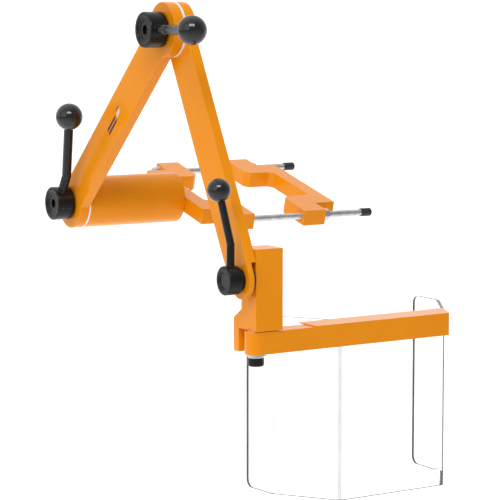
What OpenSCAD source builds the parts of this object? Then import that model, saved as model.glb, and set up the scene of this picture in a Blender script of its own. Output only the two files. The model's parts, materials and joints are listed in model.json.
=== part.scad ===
// Articulated guard arm with a column clamp, two link arms and a bent clear shield.
// Origin: middle of the clamp opening. +X runs from the fixed jaw to the moving jaw,
// +Y points away from the shield, +Z is up along the upright shield. Millimetres.

/* [Column clamp] */
// Gap between the limb faces of the two jaws as stored
jaw_gap = 70; // [30:1:90]
// Length of each jaw along the opening
jaw_length = 200; // [190:1:230]
// Thickness of the jaw plates
jaw_thickness = 19; // [16:0.5:24]
// Depth of the recess in each jaw
recess_depth = 38; // [20:1:60]
// Length of the recess along the jaw
recess_length = 90; // [60:1:110]
// Wall left behind the recess
jaw_wall = 19; // [17:1:30]
// Width of the two limbs that carry the rods
limb_width = 30; // [20:1:34]
// Length of the full-width middle of each jaw
jaw_body_length = 148; // [140:1:156]
// Tilt of the clamp about the tube, measured against the upright shield
clamp_tilt = 14; // [0:1:30]
// Diameter of the two clamp rods
rod_diameter = 8; // [6:1:10]
// Length of each clamp rod
rod_length = 205; // [200:1:240]

/* [Spacer tube] */
// Outside diameter of the spacer tube
tube_diameter = 60; // [50:1:70]
// Length of the spacer tube
tube_length = 126; // [80:1:200]
// Wall of the spacer tube
tube_wall = 5; // [3:0.5:6]

/* [Link arms] */
// Distance between the pivots of the lower arm
lower_arm_length = 315; // [250:1:400]
// Distance between the pivots of the upper arm
upper_arm_length = 296; // [250:1:400]
// Angle of the lower arm above the horizontal
lower_arm_angle = 41.5; // [20:0.5:70]
// Angle of the upper arm below the horizontal
upper_arm_angle = 60.8; // [40:0.1:80]
// Width of the straight part of each arm
arm_width = 45; // [38:1:50]
// Thickness of each arm
arm_thickness = 12; // [10:0.5:14]
// Diameter of the round ends at the shoulder and the elbow
arm_end_diameter = 60; // [52:1:66]

/* [Ball levers] */
// Hub diameter of the shoulder and elbow levers
lever_hub_diameter = 39; // [34:1:44]
// Distance of the ball from the hub axis on the large levers
lever_reach = 125; // [100:1:140]
// Ball diameter of the large levers
lever_ball_diameter = 31; // [25:1:32]
// Turn of the shoulder lever from the upright, towards the shield
shoulder_lever_angle = 32; // [0:1:60]
// Turn of the elbow lever from the upright, towards the shield
elbow_lever_angle = 89; // [60:1:100]
// Turn of the wrist lever from the upright, towards the shield
wrist_lever_angle = 1; // [-10:1:20]

/* [Guard] */
// Height of the shield sheet
shield_height = 200; // [150:5:250]
// Width of the front facet of the shield, corner to corner
shield_front = 143; // [120:1:170]
// Width of each side facet of the shield
shield_side = 82; // [60:1:100]
// Width of each end facet of the shield
shield_wing = 48; // [30:1:60]
// Thickness of the shield sheet
shield_thickness = 4; // [3:0.5:6]
// Height of the guard bar
bar_height = 24; // [20:1:30]
// Depth of the guard bar
bar_depth = 24; // [20:1:28]
// Turn of the guard bar about its hinge, from square to the arms
bar_turn = 2.9; // [0:0.1:10]

/* [Hidden] */
$fn = 64;

// Running clearance on a radius, and play where a screw passes a plain hole
running = 0.05;
play = 0.2;
// Smallest overlap that joins two solids cleanly
merge = 0.01;

// Clamp
limb_face = jaw_gap / 2;
limb_back = limb_face + limb_width;
recess_face = limb_face + recess_depth;
jaw_back = recess_face + jaw_wall;
recess_chamfer = 6;
rod_offset = jaw_length / 2 - 9;
rod_start = [-limb_back - 9.5, -limb_back - 13.6];
nut_flats = 13;
nut_height = 6.5;
washer_diameter = 16;
washer_thickness = 1.6;
cap_diameter = 10;
cap_length = 15;
cap_grip = 10;

// Stack of pieces along the shoulder axis, from the clamp towards the levers
tube_end = -jaw_back - tube_length;
shoulder_washer_thickness = 2;
elbow_washer_thickness = 2.5;
tongue_thickness = 6;
block_gap = 0.3;
lower_arm_back = tube_end - shoulder_washer_thickness;
lower_arm_face = lower_arm_back - arm_thickness;
upper_arm_face = lower_arm_back + elbow_washer_thickness;
upper_arm_back = upper_arm_face + arm_thickness;
plug_length = 18;
tube_screw_diameter = 10;
stud_diameter = 12;
wrist_stud_diameter = 10;
wrist_end_diameter = 42;
wrist_recess_diameter = arm_width + 2;
wrist_taper = 40;
wrist_washer_diameter = 27;

// Pivots, as [Y, Z]
elbow_y = -lower_arm_length * cos(lower_arm_angle);
elbow_z = lower_arm_length * sin(lower_arm_angle);
wrist_y = elbow_y - upper_arm_length * cos(upper_arm_angle);
wrist_z = elbow_z - upper_arm_length * sin(upper_arm_angle);

// Levers: sizes of the large lever and of the smaller one on the wrist
thrust_washer_thickness = 1.6;
thrust_washer_diameter = 32;
wrist_thrust_thickness = 4;
wrist_thrust_diameter = 24;
lever_front = 23.2;
wrist_lever_front = 20;
wrist_hub_diameter = 31;
stem_diameter = 10.9;
wrist_stem_diameter = 8.4;
lever_bend = [40, 13.5];
wrist_lever_bend = [38, 11.5];
ball_offset = 31;
wrist_reach = 95.5;
wrist_ball_offset = 26;
wrist_ball_diameter = 25;
face_recess = 1.6;
face_screw_diameter = 20;
face_screw_head = 6;
face_screw_socket = 10;
face_screw_shank = 8;
ball_flat = 0.86;
knob_screw = 8;
wrist_knob_screw = 6;
knob_screw_length = 9;

// Wrist block profile, measured from the wrist pivot
block_left = upper_arm_back + block_gap;
block_width = 33;
block_front = -12.4;
block_back = 18.6;
block_top = 32.3;
block_bottom = -55.2;
block_step_top = -34;
lug_front = 24;
lug_back = 34.9;
lug_top = -44.7;
lug_bottom = -80.7;

// Guard hinge and bar, measured from the hinge axis
hinge_x = -197.7;
hinge_y = wrist_y + 0.5;
hinge_screw_diameter = 10;
hinge_head_diameter = 17.6;
hinge_head_height = 8.9;
hinge_washer_diameter = 22.6;
hinge_washer_thickness = 2.2;
lock_washer_diameter = 17;
lock_washer_thickness = 2.2;
hinge_shim_thickness = 0.8;
hinge_thread_depth = 20;
bar_top = wrist_z + block_bottom - hinge_shim_thickness;
bar_bottom = bar_top - bar_height;
shield_start = 118.4;
bar_front_end = shield_start + shield_front - 13;
bar_back_end = shield_start + shield_front;
strip_start = 69.4;
strip_thickness = 1;
strip_leg = 5.8;
strip_drop = 20;
leg_margin = 7;
screw_places = [22, 55, 88, 121];
screw_diameter = 5;
screw_head_diameter = 9.5;
screw_head_height = 2.8;
shield_bend = 4;
shield_corner = 9;
bend_steps = 8;
shield_turns = [30.8, 56.8, 56.8, 30.8];
shield_facets = [shield_wing, shield_side, shield_front, shield_side, shield_wing];

paint = "darkorange";
black = [0.05, 0.05, 0.055];
steel = "silver";
white = [0.93, 0.93, 0.9];

// ---- placing ----

// Frame of the tilted clamp: local Y runs along the jaws, local Z through their thickness
module clamp_frame() {
    rotate([clamp_tilt, 0, 0])
        children();
}

// Local Z runs along +X from the given X, on the axis through the point [Y, Z]
module along_x(x, y, z) {
    translate([x, y, z])
        rotate([0, 90, 0])
            children();
}

// Local Z points out of the arm face towards -X and local X points up the lever
module lever_frame(x, y, z, turn) {
    translate([x, y, z])
        rotate([turn, 0, 0])
            rotate([0, -90, 0])
                children();
}

// Local X runs along the guard bar, local Z up, from the hinge axis at the bar's top
module guard_frame() {
    translate([hinge_x, hinge_y, bar_top])
        rotate([0, 0, bar_turn])
            children();
}

// ---- shapes used more than once ----

module ring(outside, bore, height) {
    difference() {
        cylinder(d = outside, h = height);
        translate([0, 0, -1])
            cylinder(d = bore, h = height + 2);
    }
}

module hexagon(flats, height) {
    cylinder(d = flats / cos(30), h = height, $fn = 6);
}

module hex_nut(flats, bore, height) {
    difference() {
        intersection() {
            hexagon(flats, height);
            rotate_extrude()
                polygon([
                    [0, 0], [flats * 0.5, 0], [flats * 0.58, flats * 0.05],
                    [flats * 0.58, height - flats * 0.05], [flats * 0.5, height], [0, height]
                ]);
        }
        translate([0, 0, -1])
            cylinder(d = bore, h = height + 2);
    }
}

// ---- column clamp ----

module jaw_outline() {
    near = limb_face;
    body = jaw_body_length / 2;
    tip = jaw_length / 2;
    rim = recess_length / 2;
    edge = recess_chamfer;
    polygon([
        [near, -tip], [limb_back, -tip], [limb_back, -body], [jaw_back, -body],
        [jaw_back, body], [limb_back, body], [limb_back, tip], [near, tip],
        [near, rim + edge], [near + edge, rim],
        [recess_face - edge, rim], [recess_face, rim - edge],
        [recess_face, -rim + edge], [recess_face - edge, -rim],
        [near + edge, -rim], [near, -rim - edge]
    ]);
}

module jaw() {
    difference() {
        linear_extrude(jaw_thickness, center = true)
            jaw_outline();
        for (side = [-1, 1])
            along_x(limb_face - 1, side * rod_offset, 0)
                cylinder(d = rod_diameter + play, h = limb_width + 2);
    }
}

module fixed_jaw() {
    color(paint)
        clamp_frame()
            difference() {
                mirror([1, 0, 0])
                    jaw();
                along_x(-jaw_back - 1, 0, 0)
                    cylinder(d = tube_screw_diameter + play, h = jaw_wall + 2);
                along_x(-recess_face - tube_screw_diameter / 2, 0, 0)
                    cylinder(
                        d1 = tube_screw_diameter + play,
                        d2 = tube_screw_diameter * 2 + play * 2 + 0.4,
                        h = tube_screw_diameter / 2 + 0.2
                    );
            }
}

module moving_jaw() {
    color(paint)
        clamp_frame()
            jaw();
}

module rod(side, start) {
    clamp_frame()
        along_x(start, side * rod_offset, 0)
            cylinder(d = rod_diameter, h = rod_length);
}

module front_rod() {
    color(steel)
        rod(-1, rod_start[0]);
}

module rear_rod() {
    color(steel)
        rod(1, rod_start[1]);
}

// One nut and one washer on each rod, stacked outwards from the limb's outer face
module nut_pair(direction) {
    color(steel)
        clamp_frame()
            for (side = [-1, 1])
                along_x(direction * (limb_back + washer_thickness) - (direction < 0 ? nut_height : 0),
                        side * rod_offset, 0)
                    rotate(30)
                        hex_nut(nut_flats, rod_diameter + 2 * running, nut_height);
}

module washer_pair(direction) {
    color(steel)
        clamp_frame()
            for (side = [-1, 1])
                along_x(direction * limb_back - (direction < 0 ? washer_thickness : 0),
                        side * rod_offset, 0)
                    ring(washer_diameter, rod_diameter + play, washer_thickness);
}

module fixed_nuts() {
    nut_pair(-1);
}

module fixed_washers() {
    washer_pair(-1);
}

module clamping_nuts() {
    nut_pair(1);
}

module clamping_washers() {
    washer_pair(1);
}

module rod_end_caps() {
    color(black)
        clamp_frame()
            for (k = [0, 1])
                along_x(rod_start[k] + rod_length - cap_grip, (2 * k - 1) * rod_offset, 0)
                    rotate_extrude()
                        polygon([
                            [rod_diameter / 2 + 0.02, 0], [cap_diameter / 2, 0],
                            [cap_diameter / 2, cap_length - 1], [cap_diameter / 2 - 1, cap_length],
                            [0, cap_length], [0, cap_grip], [rod_diameter / 2 + 0.02, cap_grip]
                        ]);
}

// ---- spacer tube and shoulder ----

module spacer_tube() {
    color(paint)
        along_x(tube_end, 0, 0)
            ring(tube_diameter, tube_diameter - 2 * tube_wall, tube_length);
}

module plug(bore) {
    ring(tube_diameter - 2 * tube_wall - 2 * running, bore, plug_length);
}

module tube_front_plug() {
    color(steel)
        along_x(tube_end, 0, 0)
            plug(stud_diameter + 2 * running);
}

module tube_rear_plug() {
    color(steel)
        along_x(-jaw_back - plug_length, 0, 0)
            plug(tube_screw_diameter + 2 * running);
}

module tube_screw() {
    head = tube_screw_diameter / 2;
    color(steel)
        clamp_frame()
            along_x(-recess_face - jaw_wall - plug_length + 2, 0, 0)
                difference() {
                    union() {
                        cylinder(d = tube_screw_diameter, h = plug_length + jaw_wall - 2 - head + merge);
                        translate([0, 0, plug_length + jaw_wall - 2 - head])
                            cylinder(d1 = tube_screw_diameter, d2 = 2 * tube_screw_diameter, h = head);
                    }
                    translate([0, 0, plug_length + jaw_wall - 2 - head])
                        hexagon(6, head + 1);
                }
}

// Stud along +X with a tapped hole in the end that holds the lever's face screw
module pivot_stud(diameter, length, tapped) {
    difference() {
        cylinder(d = diameter, h = length);
        translate([0, 0, -1])
            cylinder(d = tapped + 2 * running, h = 13);
    }
}

// X of the stud's free end inside a lever hub
function stud_tip(face, front) = face - front + face_recess + face_screw_head + 1.4;

module shoulder_stud() {
    tip = stud_tip(lower_arm_face, lever_front);
    color(steel)
        along_x(tip, 0, 0)
            pivot_stud(stud_diameter, tube_end + plug_length - 2 - tip, face_screw_shank);
}

module shoulder_friction_washer() {
    color(white)
        along_x(lower_arm_back, 0, 0)
            ring(tube_diameter + 0.6, stud_diameter + play, shoulder_washer_thickness);
}

// ---- link arms ----

// Flat arm along local X: a large disc, a straight bar that may narrow, and the far disc
module arm_outline(length, far_diameter) {
    far_half = min(arm_width, far_diameter) / 2;
    circle(d = arm_end_diameter);
    polygon([
        [0, -arm_width / 2], [length - wrist_taper, -arm_width / 2], [length, -far_half],
        [length, far_half], [length - wrist_taper, arm_width / 2], [0, arm_width / 2]
    ]);
    translate([length, 0])
        circle(d = far_diameter);
}

module arm_plate(length, far_diameter, near_bore, far_bore) {
    difference() {
        linear_extrude(arm_thickness)
            arm_outline(length, far_diameter);
        translate([0, 0, -1])
            cylinder(d = near_bore, h = arm_thickness + 2);
        translate([length, 0, -1])
            cylinder(d = far_bore, h = arm_thickness + 2);
    }
}

module lower_arm() {
    bore = stud_diameter + 2 * running;
    color(paint)
        translate([lower_arm_face, 0, 0])
            rotate([180 - lower_arm_angle, 0, 0])
                rotate([90, 0, 90])
                    arm_plate(lower_arm_length, arm_end_diameter, bore, bore);
}

// The wrist end is recessed from behind, which leaves a thin round tongue
module upper_arm() {
    color(paint)
        translate([upper_arm_face, elbow_y, elbow_z])
            rotate([180 + upper_arm_angle, 0, 0])
                rotate([90, 0, 90])
                    difference() {
                        arm_plate(upper_arm_length, wrist_end_diameter,
                                  stud_diameter + play, wrist_stud_diameter + 2 * running);
                        translate([upper_arm_length, 0, tongue_thickness])
                            cylinder(d = wrist_recess_diameter, h = arm_thickness);
                    }
}

module elbow_friction_washer() {
    color(white)
        along_x(lower_arm_back, elbow_y, elbow_z)
            ring(arm_end_diameter + 0.6, stud_diameter + play, elbow_washer_thickness);
}

module shoulder_thrust_washer() {
    color(black)
        along_x(lower_arm_face - thrust_washer_thickness, 0, 0)
            ring(thrust_washer_diameter, stud_diameter + play, thrust_washer_thickness);
}

module elbow_thrust_washer() {
    color(black)
        along_x(lower_arm_face - thrust_washer_thickness, elbow_y, elbow_z)
            ring(thrust_washer_diameter, stud_diameter + play, thrust_washer_thickness);
}

module wrist_thrust_washer() {
    color(black)
        along_x(upper_arm_face - wrist_thrust_thickness, wrist_y, wrist_z)
            ring(wrist_thrust_diameter, wrist_stud_diameter + play, wrist_thrust_thickness);
}

// Fills the space between the tongue and the block
module wrist_friction_washer() {
    back_of_tongue = upper_arm_face + tongue_thickness;
    color(black)
        along_x(back_of_tongue, wrist_y, wrist_z)
            ring(wrist_washer_diameter, wrist_stud_diameter + play, block_left - back_of_tongue);
}

// The elbow stud carries a low round head behind the upper arm
module elbow_stud() {
    tip = stud_tip(lower_arm_face, lever_front);
    color(steel)
        along_x(tip, elbow_y, elbow_z)
            union() {
                pivot_stud(stud_diameter, upper_arm_back - tip + merge, face_screw_shank);
                translate([0, 0, upper_arm_back - tip])
                    rotate_extrude()
                        polygon([[0, 0], [13, 0], [13, 3.5], [11.5, 5], [0, 5]]);
            }
}

// ---- ball levers ----

// Round hub from z = low to z = front, with a recessed face and a bore for the stud
module lever_hub(diameter, low, front, stud, face_hole, face_hole_depth) {
    radius = diameter / 2;
    difference() {
        rotate_extrude()
            polygon([
                [0, low], [radius - 0.8, low], [radius, low + 0.8],
                [radius, front - 0.8], [radius - 0.8, front], [radius - 4.6, front],
                [radius - 5.4, front - face_recess], [0, front - face_recess]
            ]);
        translate([0, 0, low - 1])
            cylinder(d = stud + 2 * running, h = front - low);
        translate([0, 0, front - face_recess - face_hole_depth])
            cylinder(d = face_hole, h = face_hole_depth + 1);
    }
}

// Bar of one diameter between two points of the lever's XZ plane
module stem_piece(from, to, diameter, extra) {
    run = to - from;
    translate([from[0], 0, from[1]])
        rotate([0, atan2(run[0], run[1]), 0])
            cylinder(d = diameter, h = norm(run) + extra);
}

// The stem leaves the hub squarely, bends outwards once and ends under the ball
module lever_stem(hub_radius, bend, ball, diameter, ball_diameter, tip_diameter) {
    slope = (ball - bend) / norm(ball - bend);
    shoulder = ball - slope * ball_diameter / 2 * ball_flat;
    stem_piece([hub_radius - 6, bend[1]], bend, diameter, 0);
    translate([bend[0], 0, bend[1]])
        sphere(d = diameter + 0.1);
    stem_piece(bend, shoulder, diameter, 0);
    stem_piece(shoulder - slope, shoulder, tip_diameter, knob_screw_length);
}

module lever(diameter, low, front, stud, face_hole, bend, ball, stem, ball_diameter, tip_diameter) {
    lever_hub(diameter, low, front, stud, face_hole, face_screw_head);
    difference() {
        lever_stem(diameter / 2, bend, ball, stem, ball_diameter, tip_diameter);
        translate([0, 0, low])
            cylinder(d = diameter - 3, h = front - low);
    }
}

// Ball knob with a flat and a blind hole facing down the stem
module knob(bend, ball, ball_diameter, tip_diameter) {
    run = ball - bend;
    flat = ball_diameter / 2 * ball_flat;
    translate([ball[0], 0, ball[1]])
        rotate([0, atan2(run[0], run[1]), 0])
            difference() {
                sphere(d = ball_diameter, $fn = 96);
                translate([0, 0, -flat - ball_diameter / 2])
                    cube(ball_diameter, center = true);
                translate([0, 0, -flat - 1])
                    cylinder(d = tip_diameter + 2 * running, h = knob_screw_length + 2);
            }
}

// Socket head screw that sits in the face of a large lever
module face_screw() {
    head_base = lever_front - face_recess - face_screw_head;
    difference() {
        union() {
            translate([0, 0, head_base])
                cylinder(d = face_screw_diameter, h = face_screw_head - 0.6);
            translate([0, 0, head_base - 11])
                cylinder(d = face_screw_shank, h = 11 + merge);
        }
        translate([0, 0, head_base + 1])
            hexagon(face_screw_socket, face_screw_head);
    }
}

module large_lever(y, z, turn) {
    color(black)
        lever_frame(lower_arm_face, y, z, turn)
            lever(lever_hub_diameter, thrust_washer_thickness, lever_front, stud_diameter,
                  face_screw_diameter + play, lever_bend, [lever_reach, ball_offset],
                  stem_diameter, lever_ball_diameter, knob_screw);
}

module large_knob(y, z, turn) {
    color(black)
        lever_frame(lower_arm_face, y, z, turn)
            knob(lever_bend, [lever_reach, ball_offset], lever_ball_diameter, knob_screw);
}

module shoulder_lever() {
    large_lever(0, 0, shoulder_lever_angle);
}

module shoulder_lever_ball() {
    large_knob(0, 0, shoulder_lever_angle);
}

module shoulder_lever_screw() {
    color(black)
        lever_frame(lower_arm_face, 0, 0, shoulder_lever_angle)
            face_screw();
}

module elbow_lever() {
    large_lever(elbow_y, elbow_z, elbow_lever_angle);
}

module elbow_lever_ball() {
    large_knob(elbow_y, elbow_z, elbow_lever_angle);
}

module elbow_lever_screw() {
    color(black)
        lever_frame(lower_arm_face, elbow_y, elbow_z, elbow_lever_angle)
            face_screw();
}

module wrist_lever() {
    color(black)
        lever_frame(upper_arm_face, wrist_y, wrist_z, wrist_lever_angle)
            lever(wrist_hub_diameter, wrist_thrust_thickness, wrist_lever_front, wrist_stud_diameter,
                  face_screw_diameter - 3, wrist_lever_bend, [wrist_reach, wrist_ball_offset],
                  wrist_stem_diameter, wrist_ball_diameter, wrist_knob_screw);
}

module wrist_lever_ball() {
    color(black)
        lever_frame(upper_arm_face, wrist_y, wrist_z, wrist_lever_angle)
            knob(wrist_lever_bend, [wrist_reach, wrist_ball_offset], wrist_ball_diameter,
                 wrist_knob_screw);
}

// Plain cap pressed into the wrist lever's face
module wrist_lever_cap() {
    color(black)
        lever_frame(upper_arm_face, wrist_y, wrist_z, wrist_lever_angle)
            translate([0, 0, wrist_lever_front - face_recess - 4])
                cylinder(d = face_screw_diameter - 3 - 2 * running, h = 3.6);
}

// ---- wrist block and guard hinge ----

module block_profile() {
    polygon([
        [block_front, block_top], [block_back, block_top], [block_back, block_step_top],
        [lug_back, lug_top], [lug_back, lug_bottom], [lug_front, lug_bottom],
        [lug_front, block_bottom], [block_front, block_bottom]
    ]);
}

module wrist_block() {
    color(paint)
        difference() {
            translate([block_left, wrist_y, wrist_z])
                rotate([90, 0, 90])
                    linear_extrude(block_width)
                        block_profile();
            along_x(block_left - 1, wrist_y, wrist_z)
                cylinder(d = wrist_stud_diameter + 2 * running, h = 19);
            translate([hinge_x, hinge_y, wrist_z + block_bottom - 1])
                cylinder(d = hinge_screw_diameter + 2 * running, h = hinge_thread_depth + 1);
        }
}

module wrist_stud() {
    tip = upper_arm_face - wrist_lever_front + face_recess + 5.4;
    color(steel)
        along_x(tip, wrist_y, wrist_z)
            cylinder(d = wrist_stud_diameter, h = block_left + 17 - tip);
}

module hinge_screw() {
    under = hinge_washer_thickness + lock_washer_thickness;
    shank = under + bar_height + hinge_shim_thickness + hinge_thread_depth - 1;
    color(black)
        translate([hinge_x, hinge_y, bar_bottom - under - hinge_head_height])
            difference() {
                union() {
                    rotate_extrude()
                        polygon([
                            [0, 0], [hinge_head_diameter / 2 - 1.2, 0], [hinge_head_diameter / 2, 1.2],
                            [hinge_head_diameter / 2, hinge_head_height], [0, hinge_head_height]
                        ]);
                    translate([0, 0, hinge_head_height - merge])
                        cylinder(d = hinge_screw_diameter, h = shank + merge);
                }
                translate([0, 0, -1])
                    hexagon(8, 6);
            }
}

module hinge_washer() {
    color(steel)
        translate([hinge_x, hinge_y, bar_bottom - hinge_washer_thickness])
            ring(hinge_washer_diameter, hinge_screw_diameter + play, hinge_washer_thickness);
}

module hinge_lock_washer() {
    color(steel)
        translate([hinge_x, hinge_y, bar_bottom - hinge_washer_thickness - lock_washer_thickness])
            ring(lock_washer_diameter, hinge_screw_diameter + play, lock_washer_thickness);
}

module hinge_shim() {
    color(steel)
        translate([hinge_x, hinge_y, bar_top])
            ring(hinge_head_diameter, hinge_screw_diameter + play, hinge_shim_thickness);
}

// ---- guard ----

// The free end of the bar is mitred to follow the bend of the shield
module bar_outline() {
    circle(d = bar_depth);
    polygon([
        [0, -bar_depth / 2], [bar_front_end, -bar_depth / 2],
        [bar_back_end, bar_depth / 2], [0, bar_depth / 2]
    ]);
}

// Places along the bar where a strip screw goes
module at_screws() {
    for (place = screw_places)
        translate([shield_start + place, 0, -strip_drop / 2])
            rotate([90, 0, 0])
                children();
}

module guard_bar() {
    color(paint)
        guard_frame()
            difference() {
                translate([0, 0, -bar_height])
                    linear_extrude(bar_height)
                        bar_outline();
                translate([0, 0, -bar_height - 1])
                    cylinder(d = hinge_screw_diameter + 2 * running, h = bar_height + 2);
                translate([0, bar_depth / 2 + 1, 0])
                    at_screws()
                        cylinder(d = screw_diameter + 2 * running, h = 15);
            }
}

// L-section strip: its top leg covers the bar and its back leg clamps the sheet
module retaining_strip() {
    back = bar_depth / 2 + shield_thickness + play;
    mitre = bar_back_end - bar_front_end;
    overrun = mitre * (back + strip_leg + bar_depth / 2) / bar_depth;
    color(paint)
        guard_frame()
            difference() {
                union() {
                    linear_extrude(strip_thickness)
                        polygon([
                            [strip_start, -bar_depth / 2], [bar_front_end, -bar_depth / 2],
                            [bar_front_end + overrun, back + strip_leg], [strip_start, back + strip_leg]
                        ]);
                    translate([shield_start + leg_margin, back, -strip_drop])
                        cube([shield_front - 2 * leg_margin, strip_leg, strip_drop + merge]);
                }
                translate([0, back + strip_leg + 1, 0])
                    at_screws()
                        cylinder(d = screw_diameter + play, h = strip_leg + 2);
            }
}

module strip_screws() {
    back = bar_depth / 2 + shield_thickness + play + strip_leg;
    color(steel)
        guard_frame()
            translate([0, back, 0])
                at_screws()
                    difference() {
                        union() {
                            translate([0, 0, -screw_head_height])
                                rotate_extrude()
                                    polygon([
                                        [0, 0], [screw_head_diameter / 2 - 1.6, 0],
                                        [screw_head_diameter / 2, screw_head_height - 0.8],
                                        [screw_head_diameter / 2, screw_head_height],
                                        [0, screw_head_height]
                                    ]);
                            translate([0, 0, -merge])
                                cylinder(d = screw_diameter, h = back - bar_depth / 2 + 12);
                        }
                        translate([0, 0, -screw_head_height - 1])
                            hexagon(3, 2.8);
                    }
}

// The sheet seen from above: its facets are walked from the free edge near the hinge,
// each with its heading and the outer corner where it starts
function heading(k) = k == 0 ? -shield_turns[1] - shield_turns[0] : heading(k - 1) + shield_turns[k - 1];
function along(angle) = [cos(angle), sin(angle)];
function corner(k) =
    k == 2 ? [shield_start, bar_depth / 2 + play / 2]
    : k > 2 ? corner(k - 1) + shield_facets[k - 1] * along(heading(k - 1))
    : corner(k + 1) - shield_facets[k] * along(heading(k));

// Points of the bend that ends facet k - 1, at the given radius
function bend_centre(k) =
    let (outer = shield_bend + shield_thickness, before = heading(k - 1))
    corner(k) - outer * tan(shield_turns[k - 1] / 2) * along(before) + outer * along(before + 90);
function bend_arc(k, radius) = [
    for (i = [0:bend_steps])
        bend_centre(k) + radius * along(heading(k - 1) - 90 + shield_turns[k - 1] * i / bend_steps)
];
function reversed(points) = [for (i = [len(points) - 1:-1:0]) points[i]];

module shield_outline() {
    last = len(shield_turns);
    polygon([
        corner(0),
        for (k = [1:last]) each bend_arc(k, shield_bend + shield_thickness),
        corner(last + 1),
        corner(last + 1) + shield_thickness * along(heading(last) + 90),
        for (k = [last:-1:1]) each reversed(bend_arc(k, shield_bend)),
        corner(0) + shield_thickness * along(heading(0) + 90)
    ]);
}

// The waste outside both rounded corners of a free edge; local X runs into the sheet
module edge_waste() {
    for (low = [0, 1])
        translate([0, 0, -low * shield_height])
            mirror([0, 0, 1 - low])
                rotate([90, 0, 0])
                    linear_extrude(4 * shield_thickness, center = true)
                        difference() {
                            translate([-1, -1])
                                square(shield_corner + 1);
                            translate([shield_corner, shield_corner])
                                circle(r = shield_corner);
                        }
}

module shield() {
    last = len(shield_turns);
    color([0.85, 0.93, 0.95, 0.35])
        guard_frame()
            difference() {
                translate([0, 0, -shield_height])
                    linear_extrude(shield_height)
                        shield_outline();
                translate(corner(0))
                    rotate([0, 0, heading(0)])
                        edge_waste();
                translate(corner(last + 1))
                    rotate([0, 0, heading(last) + 180])
                        edge_waste();
                translate([0, bar_depth / 2 + shield_thickness + 5, 0])
                    at_screws()
                        cylinder(d = screw_diameter + 2 * play, h = shield_thickness + 10);
            }
}

fixed_jaw();
front_rod();
rear_rod();
fixed_nuts();
fixed_washers();
rod_end_caps();
spacer_tube();
tube_front_plug();
tube_rear_plug();
tube_screw();
shoulder_stud();
shoulder_friction_washer();
moving_jaw();
clamping_nuts();
clamping_washers();
lower_arm();
elbow_friction_washer();
shoulder_thrust_washer();
elbow_thrust_washer();
upper_arm();
elbow_stud();
wrist_thrust_washer();
wrist_friction_washer();
shoulder_lever();
shoulder_lever_ball();
shoulder_lever_screw();
elbow_lever();
elbow_lever_ball();
elbow_lever_screw();
wrist_lever();
wrist_lever_ball();
wrist_lever_cap();
wrist_block();
wrist_stud();
hinge_screw();
hinge_washer();
hinge_lock_washer();
hinge_shim();
guard_bar();
retaining_strip();
strip_screws();
shield();
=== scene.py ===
"""Looks for the articulated guard arm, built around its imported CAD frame, in metres."""

import json
import math

import bmesh
import bpy
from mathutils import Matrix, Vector


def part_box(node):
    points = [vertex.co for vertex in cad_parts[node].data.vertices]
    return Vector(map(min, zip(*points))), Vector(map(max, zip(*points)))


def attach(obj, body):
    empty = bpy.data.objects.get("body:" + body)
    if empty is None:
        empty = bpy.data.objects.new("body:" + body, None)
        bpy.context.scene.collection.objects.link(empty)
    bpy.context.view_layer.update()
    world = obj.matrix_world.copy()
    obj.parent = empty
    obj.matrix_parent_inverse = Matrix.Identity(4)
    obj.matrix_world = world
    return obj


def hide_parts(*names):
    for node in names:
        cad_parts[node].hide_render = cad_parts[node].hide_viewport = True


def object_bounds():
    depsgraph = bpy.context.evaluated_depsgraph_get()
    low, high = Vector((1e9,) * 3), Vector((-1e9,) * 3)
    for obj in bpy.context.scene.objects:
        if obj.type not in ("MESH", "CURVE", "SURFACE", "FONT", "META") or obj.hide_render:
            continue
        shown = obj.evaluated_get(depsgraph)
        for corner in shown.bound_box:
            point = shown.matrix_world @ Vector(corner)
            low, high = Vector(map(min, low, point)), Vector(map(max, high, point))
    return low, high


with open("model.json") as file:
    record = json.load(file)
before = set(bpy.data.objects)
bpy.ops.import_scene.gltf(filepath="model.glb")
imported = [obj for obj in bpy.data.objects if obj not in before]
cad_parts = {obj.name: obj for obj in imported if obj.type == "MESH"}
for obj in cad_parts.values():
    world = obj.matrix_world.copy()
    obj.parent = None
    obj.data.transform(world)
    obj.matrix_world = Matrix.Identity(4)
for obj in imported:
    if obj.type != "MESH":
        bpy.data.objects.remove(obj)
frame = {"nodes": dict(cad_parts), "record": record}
cad_low, cad_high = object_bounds()
nodes = frame["nodes"]
MM = 0.001
body_of = {n: b for b, names in frame["record"]["behaviour"]["bodies"].items() for n in names}
slot_of = {p["node"]: p["material_slot"] for p in frame["record"]["subparts"]}


def add_object(name, data):
    obj = bpy.data.objects.new(name, data)
    bpy.context.scene.collection.objects.link(obj)
    return obj


# ---- camera ----

CAMERA_PLACE = Vector((-1.4003, -2.4403, 0.2654))
CAMERA_TURN = math.radians(30.12)  # from the +Y axis towards +X
CAMERA_DROP = math.radians(6.81)  # below the horizon
LENS = 164.6  # mm
SENSOR = 36  # mm across
NEAREST = 0.05
FURTHEST = 400


def make_camera():
    data = bpy.data.cameras.new("camera")
    data.lens = LENS
    data.sensor_width = SENSOR
    data.clip_start = NEAREST
    data.clip_end = FURTHEST
    camera = add_object("camera", data)
    camera.location = CAMERA_PLACE
    camera.rotation_euler = (math.pi / 2 - CAMERA_DROP, 0, -CAMERA_TURN)
    bpy.context.scene.camera = camera


# ---- materials ----


def new_material(name):
    material = bpy.data.materials.new(name)
    material.use_nodes = True
    tree = material.node_tree
    shader = tree.nodes["Principled BSDF"]
    place = tree.nodes.new("ShaderNodeTexCoord")
    return material, tree, shader, place.outputs["Object"]


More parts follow.
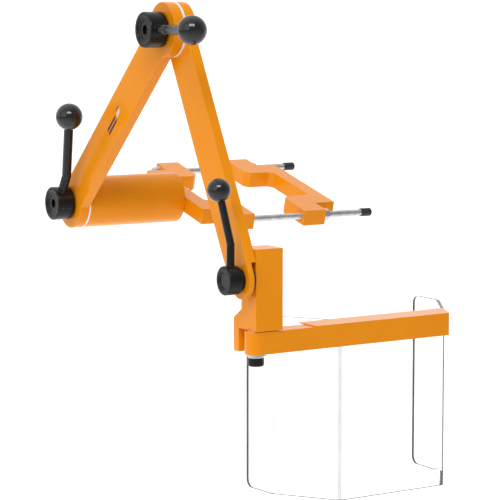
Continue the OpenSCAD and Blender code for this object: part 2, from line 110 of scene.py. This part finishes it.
def noise(tree, place, scale, detail):
    node = tree.nodes.new("ShaderNodeTexNoise")
    node.inputs["Scale"].default_value = scale
    node.inputs["Detail"].default_value = detail
    node.inputs["Roughness"].default_value = 0.5
    tree.links.new(place, node.inputs["Vector"])
    return node.outputs["Fac"]


def spread(tree, value, low, high, start=0.3, end=0.7):
    """The value, stretched so that start to end becomes low to high."""
    node = tree.nodes.new("ShaderNodeMapRange")
    node.inputs["From Min"].default_value = start
    node.inputs["From Max"].default_value = end
    node.inputs["To Min"].default_value = low
    node.inputs["To Max"].default_value = high
    tree.links.new(value, node.inputs["Value"])
    return node.outputs["Result"]


def tint(tree, value, dark, light):
    """A colour between dark and light, by the value."""
    node = tree.nodes.new("ShaderNodeMix")
    node.data_type = "RGBA"
    node.inputs["A"].default_value = (*dark, 1)
    node.inputs["B"].default_value = (*light, 1)
    tree.links.new(value, node.inputs["Factor"])
    return node.outputs["Result"]


def clouded(tree, shader, place, scale, detail, dark, light):
    """Base colour that drifts between dark and light."""
    cloud = spread(tree, noise(tree, place, scale, detail), 0, 1)
    tree.links.new(tint(tree, cloud, dark, light), shader.inputs["Base Color"])


def uneven(tree, shader, place, scale, detail, low, high):
    """Roughness that varies between low and high."""
    amount = spread(tree, noise(tree, place, scale, detail), low, high)
    tree.links.new(amount, shader.inputs["Roughness"])


def bumpy(tree, shader, place, scale, detail, strength, distance):
    """A fine relief in the surface; distance is its height in metres."""
    node = tree.nodes.new("ShaderNodeBump")
    node.inputs["Strength"].default_value = strength
    node.inputs["Distance"].default_value = distance
    tree.links.new(noise(tree, place, scale, detail), node.inputs["Height"])
    tree.links.new(node.outputs["Normal"], shader.inputs["Normal"])


def opaque(name, colour, gloss, relief, specular=0.5, metallic=0.0):
    """An opaque finish; colour, gloss and relief are what clouded, uneven and bumpy take."""
    material, tree, shader, place = new_material(name)
    clouded(tree, shader, place, **colour)
    uneven(tree, shader, place, **gloss)
    bumpy(tree, shader, place, **relief)
    shader.inputs["Specular IOR Level"].default_value = specular
    shader.inputs["Metallic"].default_value = metallic
    return material


def orange_paint():
    """Gloss powder coat: even colour, faint orange peel and a hard skin."""
    return opaque(
        "orange_paint",
        colour=dict(scale=14, detail=2, dark=(0.81, 0.262, 0.002), light=(0.85, 0.286, 0.004)),
        gloss=dict(scale=260, detail=2, low=0.15, high=0.21),
        relief=dict(scale=480, detail=1, strength=0.08, distance=0.0003),
        specular=0.2,
    )


def black_metal():
    """Satin black coat on the cast levers and the screws."""
    return opaque(
        "black_metal",
        colour=dict(scale=60, detail=3, dark=(0.004, 0.0035, 0.004), light=(0.007, 0.0065, 0.007)),
        gloss=dict(scale=700, detail=2, low=0.20, high=0.30),
        relief=dict(scale=900, detail=2, strength=0.15, distance=0.0003),
        specular=0.28,
    )


def black_ball():
    """Polished phenolic plastic."""
    return opaque(
        "black_ball",
        colour=dict(scale=40, detail=2, dark=(0.005, 0.005, 0.0055), light=(0.008, 0.008, 0.009)),
        gloss=dict(scale=300, detail=2, low=0.08, high=0.12),
        relief=dict(scale=160, detail=1, strength=0.02, distance=0.0003),
        specular=0.6,
    )


def black_plastic():
    """Soft matt plastic of the rod end caps and the wrist's friction washer."""
    return opaque(
        "black_plastic",
        colour=dict(scale=90, detail=3, dark=(0.012, 0.012, 0.013), light=(0.022, 0.022, 0.024)),
        gloss=dict(scale=500, detail=2, low=0.42, high=0.58),
        relief=dict(scale=1200, detail=2, strength=0.2, distance=0.0002),
    )


def zinc():
    """Bright zinc plate with faint clouding."""
    return opaque(
        "zinc",
        colour=dict(scale=120, detail=3, dark=(0.55, 0.55, 0.555), light=(0.70, 0.70, 0.71)),
        gloss=dict(scale=600, detail=3, low=0.22, high=0.36),
        relief=dict(scale=1500, detail=2, strength=0.1, distance=0.0002),
        metallic=1,
    )


def white_washer():
    """Smooth white plastic."""
    return opaque(
        "white_washer",
        colour=dict(scale=80, detail=2, dark=(0.84, 0.83, 0.80), light=(0.90, 0.89, 0.87)),
        gloss=dict(scale=500, detail=2, low=0.35, high=0.48),
        relief=dict(scale=900, detail=2, strength=0.08, distance=0.0002),
    )


def cut_edge():
    """The sawn and scraped edge of the clear sheet."""
    return opaque(
        "cut_edge",
        colour=dict(scale=900, detail=3, dark=(0.10, 0.105, 0.11), light=(0.17, 0.175, 0.18)),
        gloss=dict(scale=1500, detail=2, low=0.25, high=0.45),
        relief=dict(scale=900, detail=3, strength=0.2, distance=0.0002),
    )


CLEAR_IOR = 1.12  # low enough that the bends don't turn black from the side


def clear_sheet():
    """Polished clear sheet with a very faint grey cast."""
    material, tree, shader, place = new_material("clear_sheet")
    clouded(tree, shader, place, 10, 2, (0.985, 0.988, 0.990), (0.995, 0.997, 0.998))
    uneven(tree, shader, place, 30, 2, 0.0, 0.012)
    shader.inputs["Transmission Weight"].default_value = 1
    shader.inputs["IOR"].default_value = CLEAR_IOR
    return material


def bend_shade():
    """The heated strip of each bend, tinted grey: painted shade that makes the clear sheet look a
    little darker there.
    """
    material, tree, shader, place = new_material("bend_shade")
    clouded(tree, shader, place, 60, 2, (0.58, 0.59, 0.61), (0.68, 0.69, 0.71))
    shader.inputs["Roughness"].default_value = 0.02
    shader.inputs["Transmission Weight"].default_value = 1
    shader.inputs["IOR"].default_value = CLEAR_IOR
    return material


def print_ink(name, dark, light):
    """Slightly uneven screen-printed ink."""
    material, tree, shader, place = new_material(name)
    clouded(tree, shader, place, 400, 2, dark, light)
    shader.inputs["Roughness"].default_value = 0.35
    shader.inputs["Specular IOR Level"].default_value = 0.3
    return material


def floor_painted_light():
    """Pale studio paper with painted light: it glows and is whitest behind the object, with painted
    shade making it a little greyer in front and to the left.
    """
    material, tree, shader, place = new_material("floor_painted_light")
    split = tree.nodes.new("ShaderNodeSeparateXYZ")
    tree.links.new(place, split.inputs["Vector"])
    # Mask of the painted light and shade: 1 behind the object, falling to 0 in front and to the
    # left.
    behind = spread(tree, split.outputs["Y"], 0, 1, start=-1.4, end=0.1)
    beside = spread(tree, split.outputs["X"], 0, 1, start=-3.0, end=-0.7)
    both = tree.nodes.new("ShaderNodeMath")
    both.operation = "MULTIPLY"
    tree.links.new(behind, both.inputs[0])
    tree.links.new(beside, both.inputs[1])
    # Painted shade: the paper's colour is greyer in front and to the left.
    colour = tint(tree, both.outputs["Value"], (0.60, 0.60, 0.60), (0.92, 0.92, 0.92))
    tree.links.new(colour, shader.inputs["Base Color"])
    shader.inputs["Roughness"].default_value = 0.9
    shader.inputs["Specular IOR Level"].default_value = 0.1
    shader.inputs["Emission Color"].default_value = (1, 1, 1, 1)
    # Painted glow: the paper emits light behind the object, and none in front and to the left.
    painted_glow = spread(tree, both.outputs["Value"], 0, 0.45, start=0, end=1)
    tree.links.new(painted_glow, shader.inputs["Emission Strength"])
    return material


MATERIALS = {
    "orange_paint": orange_paint(),
    "black_metal": black_metal(),
    "black_ball": black_ball(),
    "black_plastic": black_plastic(),
    "zinc": zinc(),
    "white_washer": white_washer(),
    "clear_sheet": clear_sheet(),
}
CUT_EDGE = cut_edge()
# Grey tint of painted shade for the strips of the sheet's bends.
BEND_SHADE = bend_shade()
PRINT_DARK = print_ink("print_dark", (0.035, 0.012, 0.05), (0.06, 0.02, 0.08))
PRINT_PALE = print_ink("print_pale", (0.60, 0.50, 0.52), (0.72, 0.62, 0.64))

# ---- mesh helpers ----


def paint(obj, *materials):
    obj.data.materials.clear()
    for material in materials:
        obj.data.materials.append(material)


def add_piece(name, mesh, node):
    """A new object in the frame that stands for a CAD node and rides on its body."""
    obj = add_object(name, mesh)
    paint(obj, MATERIALS[slot_of[node]])
    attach(obj, body_of[node])
    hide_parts(node)
    return obj


def mesh_of(bm, name):
    mesh = bpy.data.meshes.new(name)
    bm.to_mesh(mesh)
    bm.free()
    return mesh


def shade(mesh, angle):
    """Smooth shading, with a crease wherever the surface turns by more than angle degrees."""
    mesh.shade_smooth()
    mesh.set_sharp_from_angle(angle=math.radians(angle))


WELD = 1e-6
FLAT = math.radians(0.3)


def clean_copy(node):
    """The node's own surface as a bmesh with whole flat faces."""
    bm = bmesh.new()
    bm.from_mesh(nodes[node].data)
    bmesh.ops.remove_doubles(bm, verts=bm.verts, dist=WELD)
    bmesh.ops.dissolve_limit(bm, angle_limit=FLAT, verts=bm.verts, edges=bm.edges, delimit=set())
    return bm


def round_edges(bm, sharp, width, segments):
    """Bevel each edge where the surface turns by more than sharp degrees."""
    edges = [e for e in bm.edges if e.is_manifold and e.calc_face_angle(0) > math.radians(sharp)]
    bmesh.ops.bevel(
        bm, geom=edges, offset=width, offset_type="OFFSET", segments=segments, profile=0.5,
        affect="EDGES", clamp_overlap=True,
    )


# ---- rounded CAD pieces ----

# Width of the rounding on each node's sharp edges, in mm.
ROUNDING = {
    "fixed_jaw": 0.6, "moving_jaw": 0.6, "lower_arm": 0.9, "upper_arm": 0.9, "wrist_block": 0.5,
    "guard_bar": 0.5, "retaining_strip": 0.3, "spacer_tube": 0.5,
    "shoulder_friction_washer": 0.3, "elbow_friction_washer": 0.3, "hinge_screw": 0.4,
    "hinge_washer": 0.3, "shoulder_lever_screw": 0.5, "elbow_lever_screw": 0.5,
    "wrist_lever_cap": 0.5, "rod_end_caps": 0.5, "wrist_friction_washer": 0.3,
    "shoulder_lever_ball": 0.4, "elbow_lever_ball": 0.4, "wrist_lever_ball": 0.4,
    "hinge_lock_washer": 0.3, "strip_screws": 0.3, "fixed_nuts": 0.2, "clamping_nuts": 0.2,
    "fixed_washers": 0.2, "clamping_washers": 0.2,
}
ROUNDED_FROM = 35  # degrees


def softened(node, width):
    """The CAD node with its sharp edges rounded by width."""
    bm = clean_copy(node)
    round_edges(bm, ROUNDED_FROM, width, segments=2)
    mesh = mesh_of(bm, node + "_soft")
    shade(mesh, 40)
    obj = add_piece(node + "_soft", mesh, node)
    weighted = obj.modifiers.new("weighted", "WEIGHTED_NORMAL")
    weighted.keep_sharp = True


# ---- clear shield ----

SHEET_EDGE = 45  # degrees: the cut edges turn by more than this, the bends by less
SHEET_CHAMFER = 0.35 * MM
SHEET_CREASE = 12  # degrees
LARGEST_FACES = 5000 * MM * MM  # only the flat facets are larger than this
SAME_NORMAL = 0.9998
LEVEL = 0.01  # vertical part of the normal of an upright face
BEND_FACE = (40 * MM * MM, 250 * MM * MM)  # area of one face of a bend's curve
POLISHED, CUT, BEND = 0, 1, 2


def sheet_finish(face, facets):
    """Which finish a face has: polished facet, cut edge or the curved strip of a bend."""
    if abs(face.normal.z) > LEVEL:
        return CUT
    if any(face.normal.dot(facet) > SAME_NORMAL for facet in facets):
        return POLISHED
    return BEND if BEND_FACE[0] < face.area < BEND_FACE[1] else CUT


def clear_shield(node):
    """The bent sheet: polished faces, and cut edges of their own finish with a small chamfer."""
    bm = clean_copy(node)
    round_edges(bm, SHEET_EDGE, SHEET_CHAMFER, segments=1)
    mesh = mesh_of(bm, node + "_sheet")
    shade(mesh, SHEET_CREASE)
    obj = add_piece(node + "_sheet", mesh, node)
    # The bend strips get a grey tint of painted shade; polished facets and cut edges keep their own
    # finishes.
    paint(obj, MATERIALS["clear_sheet"], CUT_EDGE, BEND_SHADE)
    facets = [f.normal.copy() for f in mesh.polygons if f.area > LARGEST_FACES]
    for face in mesh.polygons:
        face.material_index = sheet_finish(face, facets)
        face.use_smooth = face.material_index == BEND


# ---- stripe label ----

ARM_ALONG = Vector((0, -0.749, 0.6626))  # up the lower arm, from the shoulder's axis
ARM_ACROSS = Vector((0, 0.6626, 0.749))
LABEL_UP_ARM = 0.158
LABEL_THICKNESS = 0.03 * MM
LABEL_SLANT = 3  # mm along the arm, from one side of a bar to the other
# Each bar's start and end along the arm, and its two sides across it, in mm.
LABEL_BARS = [(-22, 4, -6.5, -3.5), (-22, 4, -1.5, 1.5), (7, 17, -3.5, 1.5), (9, 18, 3.5, 5)]
PALE_BAR = 2


def stripe_label(node):
    """A plain printed mark on the arm's outer face: four slanted bars, no lettering."""
    middle = Vector((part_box(node)[0].x, 0, 0)) + ARM_ALONG * LABEL_UP_ARM
    lift = Vector((-LABEL_THICKNESS, 0, 0))
    for k, (start, end, left, right) in enumerate(LABEL_BARS):
        corners = [
            (start, left), (end, left), (end + LABEL_SLANT, right), (start + LABEL_SLANT, right)
        ]
        points = [middle + (ARM_ALONG * a + ARM_ACROSS * b) * MM for a, b in corners]
        bm = bmesh.new()
        face = bm.faces.new([bm.verts.new(p) for p in points])
        made = bmesh.ops.extrude_face_region(bm, geom=[face])["geom"]
        for vert in [v for v in made if isinstance(v, bmesh.types.BMVert)]:
            vert.co += lift
        bmesh.ops.recalc_face_normals(bm, faces=bm.faces)
        bar = add_object(f"label_bar_{k}", mesh_of(bm, f"label_bar_{k}"))
        paint(bar, PRINT_PALE if k == PALE_BAR else PRINT_DARK)
        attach(bar, body_of[node])


# ---- cast levers ----

CAST_VOXEL = 0.5 * MM
CAST_ROUNDS = 3


def cast(node):
    """The CAD node as one cast surface, with its edges and inner corners rounded."""
    obj = add_object(node + "_cast", nodes[node].data.copy())
    remesh = obj.modifiers.new("remesh", "REMESH")
    remesh.mode = "VOXEL"
    remesh.voxel_size = CAST_VOXEL
    smooth = obj.modifiers.new("smooth", "SMOOTH")
    smooth.factor = 0.5
    smooth.iterations = CAST_ROUNDS
    seen = obj.evaluated_get(bpy.context.evaluated_depsgraph_get())
    made = bpy.data.meshes.new_from_object(seen)
    bpy.data.objects.remove(obj)
    made.shade_smooth()
    add_piece(node + "_cast", made, node)


# ---- threaded rods ----

THREAD_PITCH = 1.25 * MM
THREAD_DEPTH = 0.6 * MM
PLAIN_FROM, PLAIN_TO = -40 * MM, 30 * MM  # the X between which the rods have no thread
ROD_SIDES = 20


def threaded_rod(node):
    """A rod along X with a helical thread at both ends and a plain middle."""
    low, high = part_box(node)
    radius = (high.z - low.z) / 2
    axis = Vector((0, (low.y + high.y) / 2, (low.z + high.z) / 2))
    root = radius - THREAD_DEPTH
    profile = [(0.0, root), (0.15, root), (0.45, radius), (0.70, radius)]  # by share of the pitch
    turns = int((high.x - low.x) / THREAD_PITCH) + 2
    bm = bmesh.new()
    rows = []
    for turn in range(turns):
        for share, r in profile:
            row = []
            for side in range(ROD_SIDES):
                angle = 2 * math.pi * side / ROD_SIDES
                x = low.x + THREAD_PITCH * (turn - 1 + share + side / ROD_SIDES)
                inside = min(max(x, low.x), high.x)
                edge = min(inside - low.x, high.x - inside)
                full = radius if PLAIN_FROM < inside < PLAIN_TO else r
                reach = min(full, root + edge)
                row.append(bm.verts.new(
                    (inside, axis.y + reach * math.cos(angle), axis.z + reach * math.sin(angle))
                ))
            rows.append(row)
    step = len(profile)  # one turn of the helix
    for k in range(len(rows) - 1):
        for side in range(ROD_SIDES):
            if side < ROD_SIDES - 1:
                quad = (rows[k][side], rows[k][side + 1], rows[k + 1][side + 1], rows[k + 1][side])
            elif k + step + 1 < len(rows):
                quad = (rows[k][side], rows[k + step][0], rows[k + step + 1][0], rows[k + 1][side])
            else:
                continue
            bm.faces.new(quad)
    bmesh.ops.remove_doubles(bm, verts=bm.verts, dist=WELD / 10)
    bmesh.ops.dissolve_degenerate(bm, edges=bm.edges, dist=WELD / 10)
    bmesh.ops.delete(bm, geom=[v for v in bm.verts if not v.link_faces], context="VERTS")
    bmesh.ops.holes_fill(bm, edges=bm.edges, sides=0)
    bmesh.ops.recalc_face_normals(bm, faces=bm.faces)
    mesh = mesh_of(bm, node + "_threaded")
    shade(mesh, 25)
    add_piece(node + "_threaded", mesh, node)


# ---- pieces ----

for node, width in ROUNDING.items():
    softened(node, width * MM)

clear_shield("shield")
stripe_label("lower_arm")

for node in ("shoulder_lever", "elbow_lever", "wrist_lever"):
    cast(node)

for node in ("front_rod", "rear_rod"):
    threaded_rod(node)

for node, obj in nodes.items():
    paint(obj, MATERIALS[slot_of[node]])

# ---- stage ----

FLOOR_DROP = 0.10  # below the lowest point of the held-up object
FLOOR_REACH = 120


def make_floor():
    mesh = bpy.data.meshes.new("floor")
    z = cad_low.z - FLOOR_DROP
    r = FLOOR_REACH
    mesh.from_pydata([(-r, -r, z), (r, -r, z), (r, r, z), (-r, r, z)], [], [(0, 1, 2, 3)])
    floor = add_object("floor", mesh)
    # The floor carries painted glow and painted shade.
    paint(floor, floor_painted_light())


def make_world():
    """Pale studio walls: bright behind the object, softer on the camera's side."""
    world = bpy.data.worlds.new("studio")
    bpy.context.scene.world = world
    world.use_nodes = True
    tree = world.node_tree
    background = tree.nodes["Background"]
    place = tree.nodes.new("ShaderNodeTexCoord")
    split = tree.nodes.new("ShaderNodeSeparateXYZ")
    tree.links.new(place.outputs["Generated"], split.inputs["Vector"])
    strength = spread(tree, split.outputs["Y"], 0.35, 1.05, start=-0.7, end=0.6)
    tree.links.new(strength, background.inputs["Strength"])
    background.inputs["Color"].default_value = (1, 1, 1, 1)


def add_light(name, data, direction):
    light = add_object(name, data)
    light.rotation_mode = "QUATERNION"
    light.rotation_quaternion = Vector(direction).to_track_quat("-Z", "Y")
    return light


def sun(name, strength, angle, direction):
    """A sun that seems angle degrees across and shines in the direction."""
    data = bpy.data.lights.new(name, "SUN")
    data.energy = strength
    data.angle = math.radians(angle)
    add_light(name, data, direction)


def softbox(name, power, width, height, place, target):
    data = bpy.data.lights.new(name, "AREA")
    data.shape = "RECTANGLE"
    data.size = width
    data.size_y = height
    data.energy = power
    light = add_light(name, data, target - place)
    light.location = place


def make_light():
    make_world()
    middle = (cad_low + cad_high) / 2
    box_place = middle + Vector((-1.0, -1.6, 1.7))
    softbox("front_box", power=26, width=1.5, height=0.7, place=box_place, target=middle)
    sun("left_key", strength=0.35, angle=45, direction=(1.0, 0.35, -0.45))
    sun("top_fill", strength=0.25, angle=70, direction=(0.1, -0.1, -1.0))
    bpy.context.scene.view_settings.view_transform = "Standard"


make_camera()
make_floor()
make_light()
